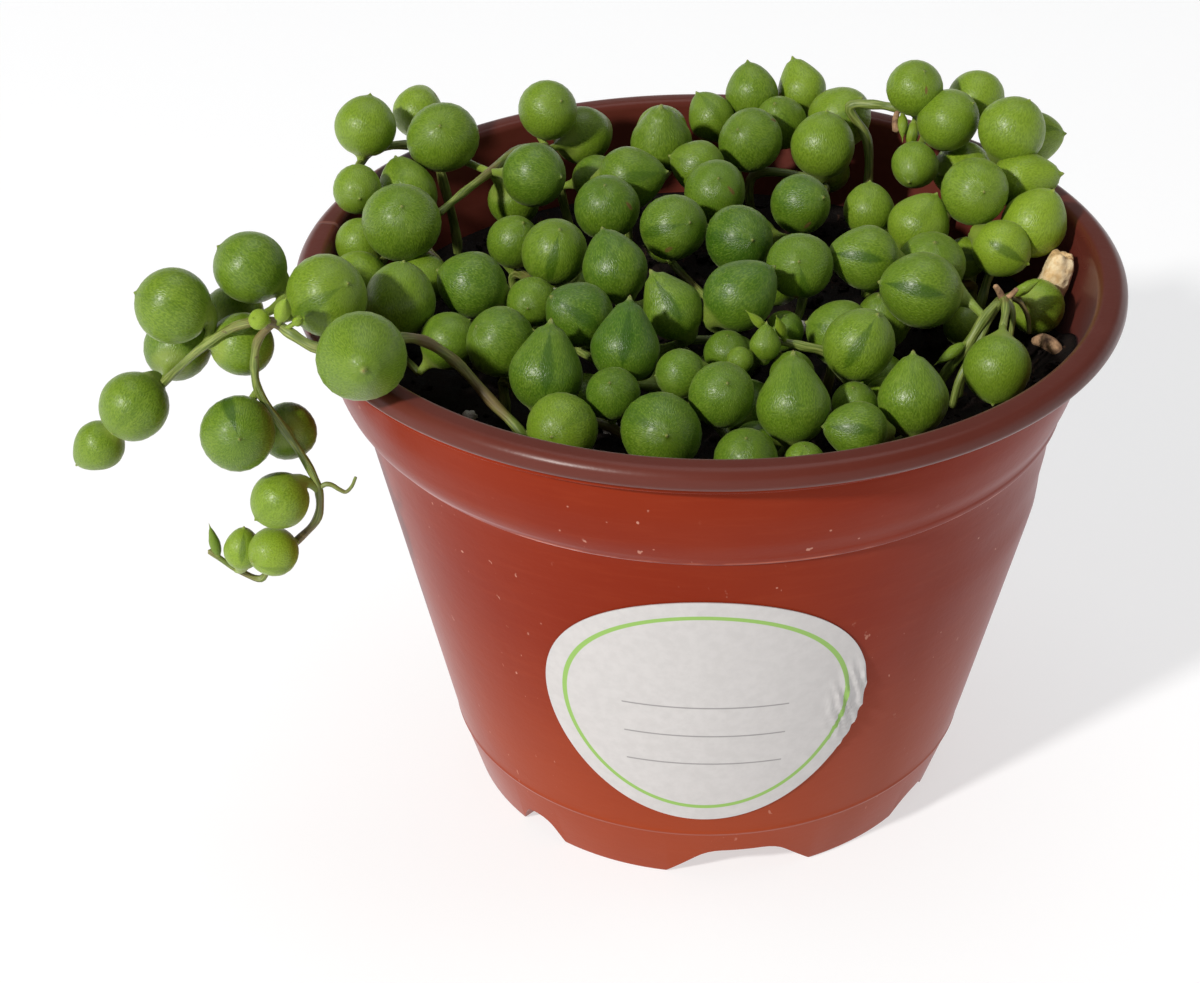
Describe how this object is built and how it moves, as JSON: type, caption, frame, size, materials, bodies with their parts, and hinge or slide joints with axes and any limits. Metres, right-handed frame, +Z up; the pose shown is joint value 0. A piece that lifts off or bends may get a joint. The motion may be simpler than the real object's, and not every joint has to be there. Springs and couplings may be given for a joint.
{
  "type": "potted string-of-pearls plant",
  "caption": "Trailing succulent with round bead-like leaves in a two-tone plastic nursery pot with a plain round label; a strand hangs over the rim.",
  "frame": {"origin": "on the ground at the middle of the pot's foot, the centre of the flat disc under its floor", "axes": "+Z up along the pot's axis; -Y is the front, where the label is; +X is to the right seen from the front, so the strand that hangs over the rim is on the -X side"},
  "size_m": [0.1337, 0.108, 0.0918],
  "materials": {
    "pot": "semi-gloss terracotta, dark brown rim and inside",
    "soil": "rough dark potting mix",
    "label": "matt white",
    "stone": "rough tan",
    "plant": "waxy green"
  },
  "bodies": {
    "root": {"pot": "pot", "soil": "soil", "label": "label", "stone": "stone", "back_left": "plant", "back_rim": "plant", "budding": "plant", "high_right": "plant", "left_rim": "plant", "back_right": "plant", "centre": "plant", "centre_back": "plant", "front_left": "plant", "front_middle": "plant", "front_right": "plant", "left_ridge": "plant", "middle_left": "plant", "right_front": "plant", "right_ridge": "plant", "over_left_rim": "plant", "over_right_rim": "plant", "right_arch": "plant", "right_wall": "plant", "trailing": "plant"}
  },
  "joints": []
}
